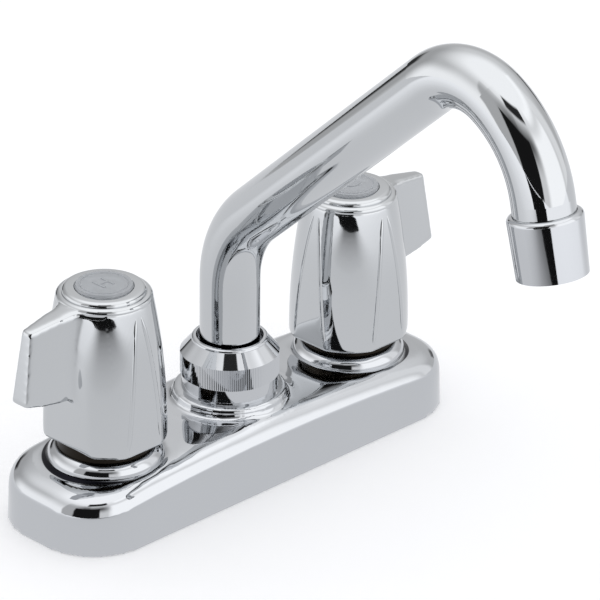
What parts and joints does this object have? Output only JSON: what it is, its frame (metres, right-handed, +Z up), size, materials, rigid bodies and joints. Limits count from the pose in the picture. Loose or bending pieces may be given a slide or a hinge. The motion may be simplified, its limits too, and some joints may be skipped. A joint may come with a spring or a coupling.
{
  "type": "utility sink faucet",
  "caption": "Deck-mounted chrome utility sink faucet with a swinging gooseneck tube spout, a knurled spout nut and quarter-turn lever handles.",
  "frame": {"origin": "centre of the deck plate's underside, where it rests on the sink deck", "axes": "+X along the deck plate towards the right handle, -Y towards the user and the outlet, +Z up"},
  "size_m": [0.1694, 0.1625, 0.1627],
  "materials": {
    "body_chrome": "bright chrome plate over a smooth casting",
    "handle_chrome": "bright chrome plate over polished zinc",
    "nut_chrome": "bright chrome plate over turned brass",
    "tube_chrome": "bright chrome plate over drawn brass tube",
    "outlet_chrome": "bright chrome plate over turned brass",
    "brass": "bare machined brass",
    "rubber": "black moulded rubber",
    "spring_steel": "drawn stainless wire",
    "screw_steel": "cold-formed stainless steel",
    "white_plastic": "moulded plastic",
    "clear_cap": "moulded grey acrylic cap"
  },
  "bodies": {
    "faucet_base": {"faucet_body": "body_chrome", "deck_gasket": "rubber", "spout_nut": "nut_chrome", "spout_thrust_washer": "white_plastic", "left_valve_seat": "rubber", "left_seat_spring": "spring_steel", "left_stem_sleeve": "brass", "left_bonnet_nut": "nut_chrome", "right_valve_seat": "rubber", "right_seat_spring": "spring_steel", "right_stem_sleeve": "brass", "right_bonnet_nut": "nut_chrome"},
    "left_lever": {"left_handle": "handle_chrome", "left_handle_screw": "screw_steel", "left_index_button": "clear_cap", "left_stem": "brass", "left_stem_oring": "rubber"},
    "right_lever": {"right_handle": "handle_chrome", "right_handle_screw": "screw_steel", "right_index_button": "clear_cap", "right_stem": "brass", "right_stem_oring": "rubber"},
    "spout": {"spout_tube": "tube_chrome", "spout_ferrule": "brass", "spout_orings": "rubber", "aerator_housing": "outlet_chrome", "aerator_washer": "rubber", "aerator_insert": "white_plastic", "aerator_screen": "screw_steel"}
  },
  "joints": [
    {"name": "left_handle_turn", "type": "hinge", "parent": "faucet_base", "child": "left_lever", "pos_m": [-0.0508, 0, 0.05], "axis": [0, 0, 1], "range_deg": [0, 90]},
    {"name": "right_handle_turn", "type": "hinge", "parent": "faucet_base", "child": "right_lever", "pos_m": [0.0508, 0, 0.05], "axis": [0, 0, 1], "range_deg": [-90, 0]},
    {"name": "spout_swing", "type": "hinge", "parent": "faucet_base", "child": "spout", "pos_m": [0, 0, 0.04], "axis": [0, 0, 1], "continuous": true}
  ]
}
